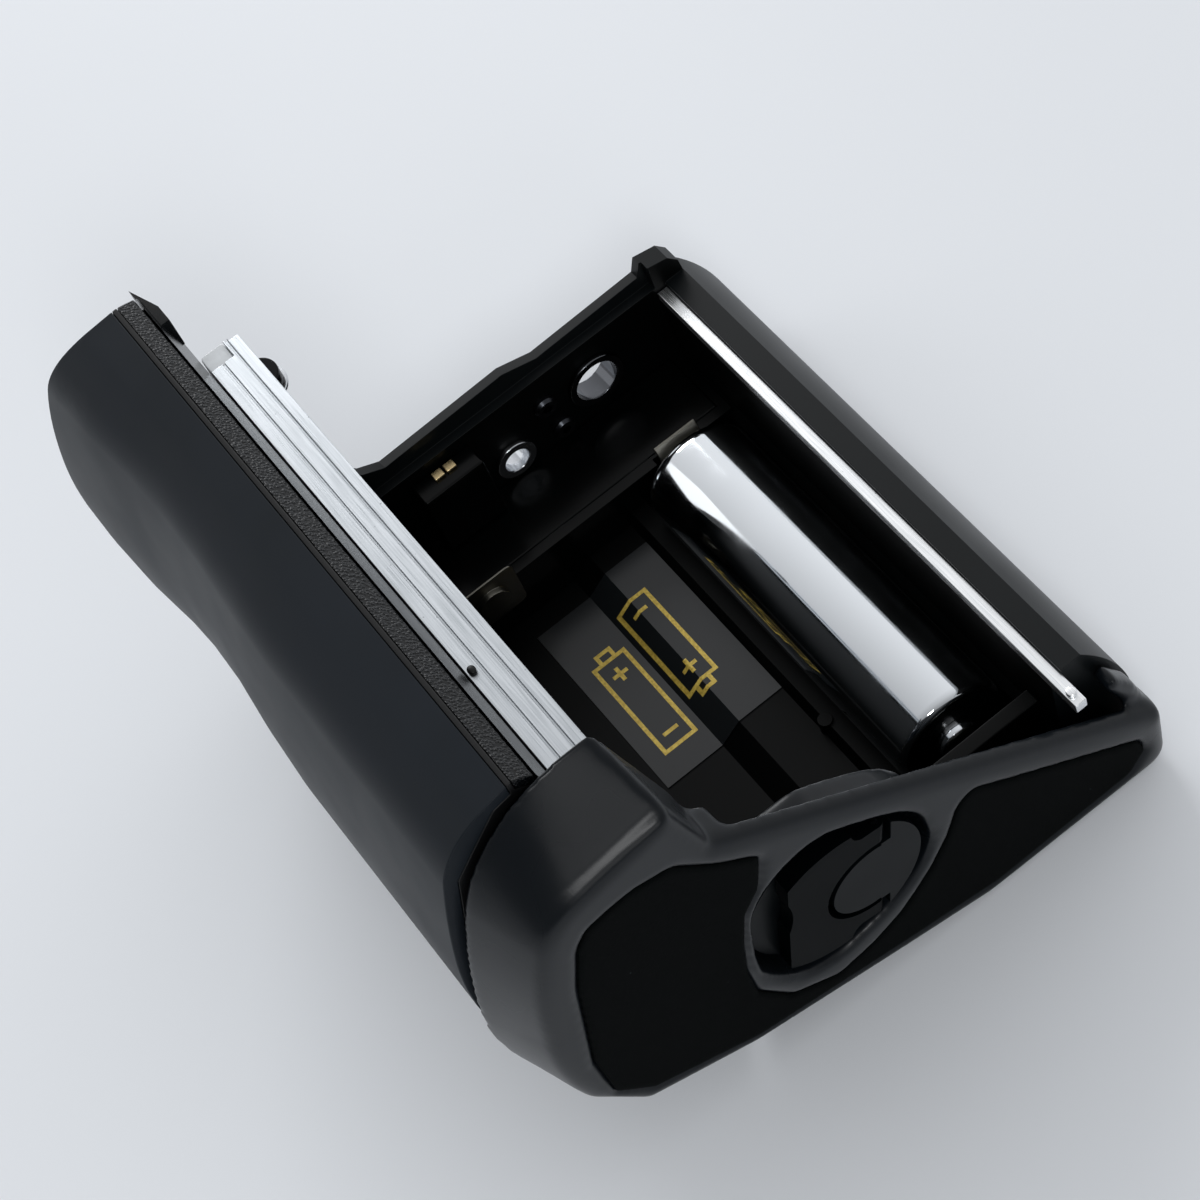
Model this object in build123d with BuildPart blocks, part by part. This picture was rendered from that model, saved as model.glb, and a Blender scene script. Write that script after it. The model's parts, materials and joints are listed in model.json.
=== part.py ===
"""Battery grip of a medium format camera, lying on its outer side with the battery chamber open above.

X runs along the grip to the end cap, Y from the hand grip to the rear wall, Z up from the rest face.
The origin is on the rest face, in the middle of the length and of the width. Lengths are in millimetres.
"""
import os
from math import sqrt

from build123d import *

os.makedirs("parts", exist_ok=True)

# Gaps, and how far a cutting solid reaches past what it cuts
overrun = 2.0
seat_gap = 0.05
running_gap = 0.3

# Cell, and the room around it along the grip
cell_radius = 7.25
cell_length = 50.5
cell_seat_gap = 0.3
cell_wall_gap = 1.25
near_cell_inset = 4.4
far_room = 13.5
far_wall = 2.6
far_wall_inset = 7.9
cap_depth = 8.1

# Floor of the chamber across the grip, from the cell's channel to the front wall
crest_reach = 6.4
crest_width = 2.3
crest_side = 0.7
shelf_width = 6.4
ramp_run = 3.0
front_bay_width = 15.5
front_corner = 4.5
rear_wall_inset = 10.0
front_wall = 2.5
grip_depth = 20.2

# Whole grip, sized by the cell, the chamber, the walls and the hand grip
chamber_rear_part = cell_wall_gap + cell_radius + crest_reach + crest_width + crest_side
chamber_front_part = shelf_width + ramp_run + front_bay_width + front_corner
overall_length = cap_depth + near_cell_inset + cell_length + far_room + far_wall + far_wall_inset
overall_width = rear_wall_inset + chamber_rear_part + chamber_front_part + front_wall + grip_depth
grip_height = 72.0
face_x = overall_length / 2
far_x = -overall_length / 2
rear_y = overall_width / 2
along = (1, 0, 0)

# End cap
cap_plate = 2.2
cap_skirt = 5.2
cap_edge_round = 1.5
seam_gap = 0.6
cap_screw_radius = 0.9
cap_screw_head = 1.7
cap_screw_grip = 6.0
seam_x = face_x - cap_depth
plate_x = face_x - cap_plate
skirt_x = face_x - cap_skirt

# Place of the cell and its bay, next to the rear wall
bay_floor = 2.25
chamber_rear_y = rear_y - rear_wall_inset
cell_y = chamber_rear_y - cell_wall_gap - cell_radius
cell_z = bay_floor + cell_seat_gap + cell_radius
cell_near_x = seam_x - near_cell_inset
cell_far_x = cell_near_x - cell_length
channel_radius = cell_radius + cell_seat_gap

# Heights of the chamber's floor
shelf_z = 3.8
front_floor = 1.6
floor_nub_radius = 0.9
floor_nub_rise = 0.3
crest_y = cell_y - crest_reach
crest_z = cell_z - sqrt(channel_radius ** 2 - crest_reach ** 2)
crest_end_y = crest_y - crest_width
shelf_start_y = crest_end_y - crest_side
shelf_end_y = shelf_start_y - shelf_width
ramp_end_y = shelf_end_y - ramp_run
front_bay_y = ramp_end_y - front_bay_width
chamber_front_y = front_bay_y - front_corner
front_cell_y = (ramp_end_y + chamber_front_y) / 2

# Walls of the main shell
far_step = 1.3
far_step_share = 0.336
rear_wall_share = 0.3333
rear_wall_top = 4.2
rear_foot_round = 3.0
front_wall_share = 0.75
far_step_z = grip_height * far_step_share
rear_wall_height = grip_height * rear_wall_share
front_wall_height = grip_height * front_wall_share
keel_z = 6.4
shell_gap = 0.4
far_outer_x = far_x + far_wall_inset
far_inner_x = far_outer_x + far_wall
split_y = chamber_front_y - front_wall
rear_top_y = chamber_rear_y + rear_wall_top
shell_near_x = skirt_x - shell_gap
front_wall_near_x = seam_x - seam_gap

# Rails that the camera slides on
front_rail_width = 4.75
front_rail_height = 8.0
front_rail_groove = 0.25
front_rail_groove_depth = 0.4
rail_notch_length = 2.4
rail_notch_depth = 3.0
rail_notch_share = 0.62
rail_ledge_share = 0.25
front_rail_slot = 1.5
front_rail_slot_depth = 1.3
front_rail_far_inset = 9.5
rear_rail_width = 1.5
rear_rail_height = 1.5
rear_rail_drop = 0.7
front_rail_y = split_y + running_gap
front_rail_inner_y = front_rail_y + front_rail_width
front_rail_top = front_wall_height + front_rail_height
front_rail_far_x = far_x + front_rail_far_inset
rear_rail_top = rear_wall_height - rear_rail_drop

# Hand grip
skin = 1.6
core_wall = 1.8
trim_width = 3.7
trim_inner = 1.4
trim_drop = 1.7
trim_low = 9.0
rubber_gap = 0.6
strip_groove = 0.25
core_boss_radius = 2.4
core_boss_length = 8.0
swell_share = 0.639
flange_reach = 5.4
flange_overlap = 2.4
flange_low = 8.0
flange_drop = 3.5
swell_top_setback = 6.0
swell_low_setback = 4.0
trim_y = split_y - trim_width
rubber_y = trim_y - rubber_gap
swell_z = grip_height * swell_share

# Folding key and its recess in the cap
knob_radius = 10.3
knob_share = (-0.025, 0.3625)
knob_sink = 0.3
knob_plate = 1.2
key_thickness = 2.0
key_gap = 0.15
recess_depth = 4.6
recess_floor = 1.3
recess_wall = 1.5
hinge_offset_share = 0.466
hinge_radius = 0.45
groove_radius_share = 0.554
groove = 0.76
hinge_offset = knob_radius * hinge_offset_share
groove_radius = knob_radius * groove_radius_share
shaft_radius = 2.4
shaft_clearance = 0.05
shaft_length = 5.6
knob_face_x = face_x - knob_sink
knob_y = overall_width * knob_share[0]
knob_z = grip_height * knob_share[1]
recess_floor_x = face_x - recess_depth
cup_back_x = recess_floor_x - recess_floor

# Pad let into the cap's face
pad_thickness = 0.8
pad_sink = 0.2
pad_gap = 0.12
pad_corner = 1.2
pad_pocket_x = face_x - pad_sink - pad_thickness

# Contacts and their carriers
contact_thickness = 0.3
carrier_clearance = 0.3
far_carrier_face = 2.2
far_carrier_height = 11.0
near_carrier_depth = 2.0
near_carrier_height = 15.5
leaf_reach = 1.9
leaf_width = 6.0
leaf_height = 9.0
leaf_travel = 0.7
plate_width = 8.0
plate_height = 8.0
far_carrier_x = cell_far_x - far_carrier_face
near_carrier_x = cell_near_x + far_carrier_face

# Guide bushes and screws in the far wall
large_bush_radius = 3.9
large_bush_bore = 2.9
small_bush_radius = 2.8
small_bush_bore = 1.7
bush_flange = 0.5
bush_flange_thickness = 0.7
wall_screw_radius = 1.5
wall_screw_head = 0.9
wall_screw_shank = 0.8

# Polarity label on the floor
label_thickness = 0.15
label_far_inset = 25.0
label_length = 27.0
label_front_reach = 8.1
label_far_x = far_x + label_far_inset

# Small pieces on the rails and the hook
rail_end_reach = 0.4
rail_end_drop = 0.5
rail_end_round = 0.5
rail_stop_inset = 17.5
rail_stop_size = 1.2
skirt_reach = 4.0
rail_pin_radius = 0.6
rail_pin_height = 0.6
lug_set_in = 5.6
lug_drop = 0.6
lug_radius = 2.2
lug_reach = 1.1
lug_height = 1.8
lug_plate_rim = 0.35
lug_plate_height = 0.5

# Details of the carriers, the contacts and the cell
carrier_wall = 1.5
far_pocket_z = 7.5
lid_thickness = 1.0
plate_corner = 1.0
button_radius = 2.2
button_height = 0.8
leaf_foot = 0.8
cell_end_plate = 0.5
cell_nub_length = 1.2
cell_nub_radius = 2.7
cell_nub_round = 0.4
cell_insulator = 0.4
cell_shoulder = 1.1
cell_base_radius = 5.6

# Details of the key and its lock
hinge_lean = 0.197
lobe_slide = 0.5
lobe_set_in = 0.5
knuckle_end_gap = 0.5
knuckle_notch = 1.5
key_reach_share = 1.117
key_nick_share = (0.214, 1.379)
key_nick_radius_share = 0.777
key_relief_share = (1.010, 0.155)
key_relief_radius = 1.9
key_reach = knob_radius * key_reach_share
washer_radius = 4.2
washer_thickness = 0.4
cam_hub_radius = 4.0
cam_width = 4.4
cam_reach = 7.0
cam_thickness = 1.6

# Output terminal on the far wall
terminal_y = -3.0
terminal_depth = 3.4
terminal_width = 8.6
terminal_height = 11.0
terminal_pitch = 1.7
terminal_bar_depth = 1.2
terminal_bar_width = 1.4
terminal_bar_height = 0.5
cap_screw_head_depth = 1.0


def cross_plane(x):
    """The plane across the grip at one place along it, with Y and Z as its own axes."""
    return Plane.YZ.offset(x)


def write(piece, name):
    """Names a finished piece and writes its file."""
    piece.part.label = name
    export_step(piece.part, "parts/" + name + ".step")
    size = piece.part.bounding_box()
    print(name, len(piece.part.solids()), round(piece.part.volume, 1), tuple(size.min), tuple(size.max))


def placed(shares):
    """Turns outline points given as shares of the width and of the height into places."""
    return [(share_y * overall_width, share_z * grip_height) for share_y, share_z in shares]


def closed_run(points):
    """Joins a closed run of points by straight lines, inside an open line builder."""
    Polyline(*points, points[0])


# Foot of the cap's lobe, where the rim meets it
rim_foot_shares = [(-0.144, 0.753)]
lobe_side_y = rim_foot_shares[0][0] * overall_width

# Places given as shares of the width and of the height, for holes that several pieces share
large_bush_place = (0.234, 0.240)
small_bush_place = (0.070, 0.197)
wall_screw_shares = [(0.145, 0.265), (0.159, 0.186)]
core_screw_shares = [(-0.281, 0.600), (-0.285, 0.235)]
front_cap_screws = placed(core_screw_shares)
rear_cap_screws = placed([(0.410, 0.085)])
cap_screws_all = front_cap_screws + rear_cap_screws

# Section of the chamber, the same along the whole chamber
rear_bulge_shares = [(0.481, 0.222), (0.500, 0.115)]
front_foot_y = front_bay_y


def chamber_line(lift):
    """The chamber's inner outline from the rear wall to the front wall, lifted off the floor."""
    radius = channel_radius - lift
    reach = sqrt(radius ** 2 - (cell_z - crest_z - lift) ** 2)
    Line((chamber_rear_y - lift, grip_height), (chamber_rear_y - lift, cell_z + cell_wall_gap))
    Line((chamber_rear_y - lift, cell_z + cell_wall_gap), (cell_y + radius, cell_z))
    ThreePointArc((cell_y + radius, cell_z), (cell_y, cell_z - radius), (cell_y - reach, crest_z + lift))
    Polyline((cell_y - reach, crest_z + lift), (crest_end_y, crest_z + lift), (shelf_start_y, shelf_z + lift),
             (shelf_end_y, shelf_z + lift), (ramp_end_y, front_floor + lift), (front_bay_y, front_floor + lift))
    corner = front_corner - lift
    RadiusArc((front_bay_y, front_floor + lift), (front_bay_y - corner, front_floor + front_corner), corner)
    Line((front_bay_y - corner, front_floor + front_corner), (front_bay_y - corner, grip_height))
    Line((front_bay_y - corner, grip_height), (chamber_rear_y - lift, grip_height))


with BuildPart() as fitted_space:
    with BuildSketch(cross_plane(far_outer_x - overrun)):
        with BuildLine():
            chamber_line(carrier_clearance)
        make_face()
    extrude(amount=overall_length)


# Main shell: the open battery chamber with its far, rear and front walls
floor_nub_shares = [-0.279, 0.187]
far_top_shares = [(0.425, 0.361), (0.410, 0.383), (0.371, 0.394), (0.361, 0.365), (0.169, 0.357), (0.112, 0.378),
                  (-0.106, 0.369), (-0.139, 0.390), (-0.180, 0.450), (-0.2165, 0.560)]

with BuildPart() as main_shell:
    with BuildSketch(cross_plane(far_outer_x)):
        with BuildLine():
            bulge, low_side = placed(rear_bulge_shares)
            ThreePointArc((rear_top_y, rear_wall_height), bulge, low_side)
            Line(low_side, (rear_y, rear_foot_round))
            TangentArc((rear_y, rear_foot_round), (rear_y - rear_foot_round, 0), tangent=(0, -1))
            Line((rear_y - rear_foot_round, 0), (front_foot_y, 0))
            TangentArc((front_foot_y, 0), (split_y, keel_z), tangent=(-1, 0))
            Polyline((split_y, keel_z), (split_y, front_wall_height), (chamber_front_y, front_wall_height),
                     (chamber_front_y, rear_wall_height), (rear_top_y, rear_wall_height))
        make_face()
    extrude(amount=shell_near_x - far_outer_x)
    with BuildSketch(cross_plane(far_outer_x)):
        with BuildLine():
            closed_run([(rear_top_y, rear_wall_height), *placed(far_top_shares), (chamber_front_y, bay_floor),
                        (rear_top_y, bay_floor)])
        make_face()
    extrude(amount=far_wall)
    # The chamber itself stops short of the far wall
    with BuildSketch(cross_plane(far_inner_x)):
        with BuildLine():
            chamber_line(0)
        make_face()
    extrude(amount=overall_length, mode=Mode.SUBTRACT)
    # Two small stops beside the cell, on the ridge between the bays
    for share in floor_nub_shares:
        with Locations((share * overall_length, crest_end_y, shelf_z)):
            Cylinder(floor_nub_radius, crest_z + floor_nub_rise - shelf_z,
                     align=(Align.CENTER, Align.CENTER, Align.MIN))
    # The far wall's inner step, below its outer lip
    with Locations((far_inner_x, chamber_rear_y, far_step_z)):
        Box(far_step, chamber_rear_y - chamber_front_y, grip_height, mode=Mode.SUBTRACT,
            align=(Align.MAX, Align.MAX, Align.MIN))
    # The cap's lobe stands in the front corner of the near end
    with Locations((front_wall_near_x, lobe_side_y + running_gap, -overrun)):
        Box(overall_length, overall_width, grip_height + overrun, mode=Mode.SUBTRACT,
            align=(Align.MIN, Align.MAX, Align.MIN))
    # Seat of the rear rail, along the inner edge of the rear wall
    with Locations((far_inner_x, chamber_rear_y - seat_gap, rear_rail_top - rear_rail_height)):
        Box(overall_length, rear_rail_width + seat_gap, rear_wall_height, mode=Mode.SUBTRACT,
            align=(Align.MIN, Align.MIN, Align.MIN))
    # Holes for the guide bushes and the screws in the far wall
    with BuildSketch(cross_plane(far_outer_x)):
        with Locations(*placed([large_bush_place])):
            Circle(large_bush_radius - bush_flange + seat_gap)
        with Locations(*placed([small_bush_place])):
            Circle(small_bush_radius - bush_flange + seat_gap)
        with Locations(*placed(wall_screw_shares)):
            Circle(wall_screw_shank + seat_gap)
    extrude(amount=far_wall, mode=Mode.SUBTRACT)
    with BuildSketch(cross_plane(shell_near_x)):
        with Locations(*rear_cap_screws):
            Circle(cap_screw_radius + seat_gap)
    extrude(amount=-cap_screw_grip, mode=Mode.SUBTRACT)
write(main_shell, "main_shell")


# Hand grip: sections at places along it, given as the side away from the split
grip_curve_shares = [(0.42, 0.985), (0.77, 0.893), (0.945, 0.71), (0.995, 0.545), (0.90, 0.375), (0.61, 0.212)]


def inset_points(points, distance):
    """Moves each point of an open run of points inwards, square to the run."""
    moved = []
    for index, (y, z) in enumerate(points):
        before = points[max(index - 1, 0)]
        after = points[min(index + 1, len(points) - 1)]
        run_y = after[0] - before[0]
        run_z = after[1] - before[1]
        run = sqrt(run_y ** 2 + run_z ** 2)
        moved.append((y - run_z / run * distance, z + run_y / run * distance))
    return moved


def grip_section(x, depth_share, inset):
    """One section of the hand grip: the covering is smoothly curved, and what lies inside is flat-sided."""
    depth = grip_depth * depth_share
    curve = [(split_y - share_y * depth, share_z * grip_height) for share_y, share_z in grip_curve_shares]
    curve = inset_points(curve, inset)
    top = grip_height - inset
    keel = (split_y, keel_z + inset)
    with BuildSketch(cross_plane(x)) as section:
        with BuildLine():
            Polyline(keel, (split_y, top - trim_low), (split_y - trim_inner, top - trim_drop),
                     (trim_y, top), curve[0])
            if inset:
                Polyline(*curve, keel)
            else:
                # The side bows gently, and rounder arcs run on from it to the top and to the split
                side = ThreePointArc(*curve[2:5])
                upper = TangentArc(curve[2], curve[1], tangent=(side % 0) * -1)
                TangentArc(curve[1], curve[0], tangent=upper % 1)
                lower = TangentArc(curve[4], curve[5], tangent=side % 1)
                TangentArc(curve[5], keel, tangent=lower % 1)
        make_face()
    return section.sketch


# Places along the hand grip as shares of the length, each with the depth of the section as a share of the deepest
station_shares = [(-0.53, 0.911), (-0.45, 0.911), (-0.375, 0.893), (-0.295, 0.850), (-0.22, 0.832), (-0.13, 0.843),
                  (-0.045, 0.880), (0.04, 0.901)]
near_depth_share = 0.901


def grip_blank(inset):
    """The hand grip as one smooth solid, drawn in by an inset on every side but the split and the near end."""
    top_x = far_x + swell_top_setback + inset
    low_x = far_x + swell_low_setback + inset
    with BuildPart() as blank:
        for place_share, depth_share in station_shares:
            add(grip_section(place_share * overall_length, depth_share, inset))
        add(grip_section(front_wall_near_x, near_depth_share, inset))
        loft(ruled=True)
        with BuildSketch(Plane.XZ):
            with BuildLine():
                Bezier((top_x, grip_height + inset), (far_x + inset, grip_height - trim_low), (far_x + inset, swell_z))
                Bezier((far_x + inset, swell_z), (far_x + inset, keel_z + trim_low), (low_x, 0))
                Polyline((low_x, 0), (front_wall_near_x, 0), (front_wall_near_x, grip_height + inset),
                         (top_x, grip_height + inset))
            make_face()
        extrude(amount=overall_width, both=True, mode=Mode.INTERSECT)
    return blank.part


outer_blank = grip_blank(0)
core_blank = grip_blank(skin)
core_body = grip_blank(skin + seat_gap)
cavity_blank = grip_blank(skin + core_wall)

with BuildPart() as grip_rubber:
    add(outer_blank)
    add(core_blank, mode=Mode.SUBTRACT)
    with Locations((far_x - overrun, rubber_y, -overrun)):
        Box(overall_length, overall_width, grip_height + overrun * 2, mode=Mode.SUBTRACT,
            align=(Align.MIN, Align.MIN, Align.MIN))
write(grip_rubber, "grip_rubber")

with BuildPart() as side_trim:
    add(outer_blank)
    with Locations((far_x - overrun, trim_y + seat_gap, grip_height - trim_low)):
        Box(overall_length, overall_width, grip_height, mode=Mode.INTERSECT, align=(Align.MIN, Align.MIN, Align.MIN))
    add(core_blank, mode=Mode.SUBTRACT)
groove_y = split_y - trim_inner

flange_x = far_x + swell_top_setback
with BuildPart() as smooth_strip:
    add(side_trim.part)
    with Locations((far_x - overrun, groove_y, 0)):
        Box(overall_length, overall_width, grip_height + overrun, mode=Mode.INTERSECT,
            align=(Align.MIN, Align.MIN, Align.MIN))
    # Its far end runs out into a thin pointed flange
    with BuildSketch(Plane.XY.offset(grip_height - flange_low)):
        with BuildLine():
            closed_run([(flange_x - flange_reach, groove_y + seat_gap),
                        (flange_x + flange_overlap, groove_y + seat_gap), (flange_x + flange_overlap, split_y),
                        (flange_x, split_y)])
        make_face()
    extrude(amount=flange_low - flange_drop)
    add(core_blank, mode=Mode.SUBTRACT)
write(smooth_strip, "smooth_edge_strip")

with BuildPart() as pebbled_strip:
    add(side_trim.part)
    with Locations((far_x - overrun, groove_y - strip_groove, 0)):
        Box(overall_length, overall_width, grip_height + overrun, mode=Mode.INTERSECT,
            align=(Align.MIN, Align.MAX, Align.MIN))
write(pebbled_strip, "pebbled_strip")

with BuildPart() as grip_core:
    add(outer_blank)
    with Locations((far_x - overrun, rubber_y + seat_gap, -overrun)):
        Box(overall_length, overall_width, grip_height + overrun * 2, mode=Mode.INTERSECT,
            align=(Align.MIN, Align.MIN, Align.MIN))
    with Locations((far_x - overrun, trim_y, grip_height - trim_low)):
        Box(overall_length, overall_width, grip_height, mode=Mode.SUBTRACT, align=(Align.MIN, Align.MIN, Align.MIN))
    add(core_body)
    with BuildPart(mode=Mode.PRIVATE) as cavity:
        add(cavity_blank)
        with Locations((far_x, split_y - core_wall, 0)):
            Box(overall_length, overall_width, grip_height, mode=Mode.INTERSECT,
                align=(Align.MIN, Align.MAX, Align.MIN))
    add(cavity.part, mode=Mode.SUBTRACT)
    # Screw bosses at the near end, for the cap
    with BuildSketch(cross_plane(front_wall_near_x)):
        with Locations(*placed(core_screw_shares)):
            Circle(core_boss_radius)
    extrude(amount=-core_boss_length)
    with BuildSketch(cross_plane(front_wall_near_x)):
        with Locations(*placed(core_screw_shares)):
            Circle(cap_screw_radius + seat_gap)
    extrude(amount=-cap_screw_grip, mode=Mode.SUBTRACT)
write(grip_core, "grip_core")


# End cap: its outline at the seam and at its outer face, point for point
cap_seam_shares = [(-0.191, 1.000), (-0.256, 0.998), (-0.308, 0.981), (-0.361, 0.939), (-0.419, 0.847),
                   (-0.460, 0.694), (-0.4815, 0.556), (-0.479, 0.430), (-0.454, 0.319), (-0.394, 0.207)]
cap_face_shares = [(-0.1725, 0.897), (-0.244, 0.888), (-0.310, 0.875), (-0.3575, 0.851), (-0.389, 0.806),
                   (-0.420, 0.703), (-0.441, 0.585), (-0.449, 0.460), (-0.435, 0.347), (-0.3775, 0.222)]
cap_seam_low_shares = [(-0.2475, 0.089), (-0.160, 0.003), (0.050, 0.000)]
cap_face_low_shares = [(-0.214, 0.132), (0.016, 0.058), (0.175, 0.010)]
cap_rear_shares = [(0.4600, 0.001), (0.489, 0.0125), (0.4985, 0.042), (0.4985, 0.150)]
round_step_shares = [(1.0, 0.0), (0.293, 0.293), (0.0, 1.0)]
rear_fin_shares = [(0.449, 0.285), (0.479, 0.222), (0.496, 0.139), (0.475, 0.110), (0.456, 0.195), (0.4325, 0.270)]
lobe_count = len(cap_seam_shares)


def closed_inset(points, distance):
    """Moves each point of a closed run of points inwards, square to its two neighbours."""
    loop = [points[-1], *points, points[0]]
    return inset_points(loop, distance)[1:-1]


def cap_outline(points):
    """The cap's outline: the lobe in front, the bottom, the rear corner, and the rim sloping up to the lobe."""
    lobe = points[:lobe_count]
    rear_low, rear_bend, rear_side = points[-5:-2]
    for start in range(0, lobe_count - 2, 2):
        ThreePointArc(*lobe[start:start + 3])
    Polyline(*lobe[-2:], *points[lobe_count:-5], rear_low)
    ThreePointArc(rear_low, rear_bend, rear_side)
    Polyline(rear_side, *points[-2:], lobe[0])


seam_points = placed(cap_seam_shares + cap_seam_low_shares + cap_rear_shares + rim_foot_shares)
face_points = placed(cap_face_shares + cap_face_low_shares + cap_rear_shares + rim_foot_shares)
front_pocket_shares = [(-0.181, 0.150), (-0.181, 0.690), (-0.205, 0.860), (-0.300, 0.835), (-0.350, 0.790),
                       (-0.385, 0.700), (-0.412, 0.560), (-0.415, 0.440), (-0.394, 0.330), (-0.350, 0.255)]
rim_pocket_shares = [(-0.120, 0.100), (-0.120, 0.900), (0.470, 0.900), (0.470, 0.050), (0.150, 0.047)]
# Outline of the lock's recess, and of the pad's edge round it, as shares of the lock's radius from its middle
recess_shares = [(-1.058, -0.223), (-1.039, 0.136), (-0.971, 0.621), (-0.883, 0.951), (-0.612, 1.272),
                 (-0.282, 1.417), (0.068, 1.379), (0.291, 1.214), (0.534, 1.010), (0.777, 0.786), (0.932, 0.592),
                 (1.049, 0.340), (1.097, -0.019), (1.010, -0.485), (0.786, -0.738), (0.462, -0.940),
                 (0.019, -1.068), (-0.398, -1.097), (-0.748, -0.854), (-0.940, -0.553)]
pad_rear_ring_shares = [(1.980, -0.243), (1.660, 0.058), (1.476, -0.097), (1.301, -0.466), (1.000, -0.874),
                        (0.563, -1.262), (0.146, -1.447)]
pad_front_ring_shares = [(-0.903, -1.165), (-1.184, -0.592), (-1.194, -0.058), (-1.107, 0.476), (-0.960, 1.060),
                         (-0.720, 1.360)]
pad_neck_shares = [(-0.0725, 0.144)]
pad_edge_shares = [(-0.100, 0.632), (-0.1575, 0.703), (-0.2025, 0.774), (-0.260, 0.793), (-0.3225, 0.785),
                   (-0.344, 0.754), (-0.370, 0.660), (-0.405, 0.440), (-0.403, 0.320), (-0.360, 0.248),
                   (-0.2075, 0.153), (0.020, 0.083), (0.186, 0.036), (0.430, 0.035), (0.462, 0.075),
                   (0.449, 0.119)]


def round_lock(shares):
    """Turns shares of the lock's radius into places round its middle."""
    return [(knob_y + share_y * knob_radius, knob_z + share_z * knob_radius) for share_y, share_z in shares]


def pad_sketch(x, growth):
    """The pad's outline on a plane across the grip, grown by a small amount."""
    with BuildSketch(cross_plane(x)) as outline:
        with BuildLine():
            closed_run(placed(pad_edge_shares) + round_lock(pad_rear_ring_shares) + placed(pad_neck_shares)
                       + round_lock(pad_front_ring_shares))
        make_face()
        fillet(outline.vertices(), pad_corner)
        offset(amount=growth)
    return outline.sketch


def recess_sketch(x, growth):
    """The recess outline on a plane across the grip: arcs for the recess, flat sides for its wall."""
    points = closed_inset(round_lock(recess_shares), growth)
    points.append(points[0])
    with BuildSketch(cross_plane(x)) as outline:
        with BuildLine():
            if growth:
                Polyline(*points)
            else:
                for start in range(0, len(points) - 1, 2):
                    ThreePointArc(*points[start:start + 3])
        make_face()
    return outline.sketch


cap_stations = [(seam_x, seam_points)]
for share_back, share_in in round_step_shares:
    cap_stations.append((face_x - share_back * cap_edge_round, closed_inset(face_points, share_in * cap_edge_round)))


def cap_section(x, points):
    """The cap's outline as a face, at one place along the grip."""
    with BuildSketch(cross_plane(x)) as section:
        with BuildLine():
            cap_outline(points)
        make_face()
    return section.sketch


with BuildPart() as end_cap:
    for (back_x, back_points), (front_x, front_points) in zip(cap_stations, cap_stations[1:]):
        loft([cap_section(back_x, back_points), cap_section(front_x, front_points)], ruled=True)
    # Behind the rim the cap is only a skirt, and the chamber's end fills the rest
    with Locations((skirt_x, lobe_side_y, -overrun)):
        Box(overall_length, overall_width, grip_height, mode=Mode.SUBTRACT, align=(Align.MAX, Align.MIN, Align.MIN))
    with BuildSketch(cross_plane(plate_x)):
        with BuildLine():
            closed_run(placed(rim_pocket_shares))
        make_face()
        with BuildLine():
            closed_run(placed(front_pocket_shares))
        make_face()
    extrude(amount=-cap_depth, mode=Mode.SUBTRACT)
    # A fin behind the rim's rear end hides the end of the rear wall
    with BuildSketch(cross_plane(skirt_x)):
        with BuildLine():
            closed_run(placed(rear_fin_shares))
        make_face()
    extrude(amount=plate_x - skirt_x + seat_gap)
    # The cup of the folding key
    extrude(recess_sketch(cup_back_x, recess_wall), amount=plate_x - cup_back_x, dir=along)
    extrude(recess_sketch(recess_floor_x, 0), amount=recess_depth, dir=along, mode=Mode.SUBTRACT)
    with BuildSketch(cross_plane(cup_back_x)):
        with Locations((knob_y, knob_z)):
            Circle(shaft_radius + shaft_clearance)
    extrude(amount=recess_depth, mode=Mode.SUBTRACT)
    # Screw bosses behind the plate: long ones to the grip's core, a short one to the chamber
    with BuildSketch(cross_plane(front_wall_near_x + seat_gap)):
        with Locations(*front_cap_screws):
            Circle(core_boss_radius)
    extrude(amount=plate_x - front_wall_near_x)
    with BuildSketch(cross_plane(shell_near_x + seat_gap)):
        with Locations(*rear_cap_screws):
            Circle(core_boss_radius)
    extrude(amount=plate_x - shell_near_x)
    with BuildSketch(cross_plane(pad_pocket_x)):
        with Locations(*cap_screws_all):
            Circle(cap_screw_radius + seat_gap)
    extrude(amount=-cap_depth, mode=Mode.SUBTRACT)
    with BuildSketch(cross_plane(pad_pocket_x)):
        with Locations(*cap_screws_all):
            Circle(cap_screw_head + seat_gap)
    extrude(amount=-cap_screw_head_depth, mode=Mode.SUBTRACT)
    # Pocket of the pad
    extrude(pad_sketch(pad_pocket_x, pad_gap), amount=cap_plate, dir=along, mode=Mode.SUBTRACT)
write(end_cap, "end_cap")

with BuildPart() as cap_pad:
    extrude(pad_sketch(pad_pocket_x, 0), amount=pad_thickness, dir=along)
write(cap_pad, "cap_pad")


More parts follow.
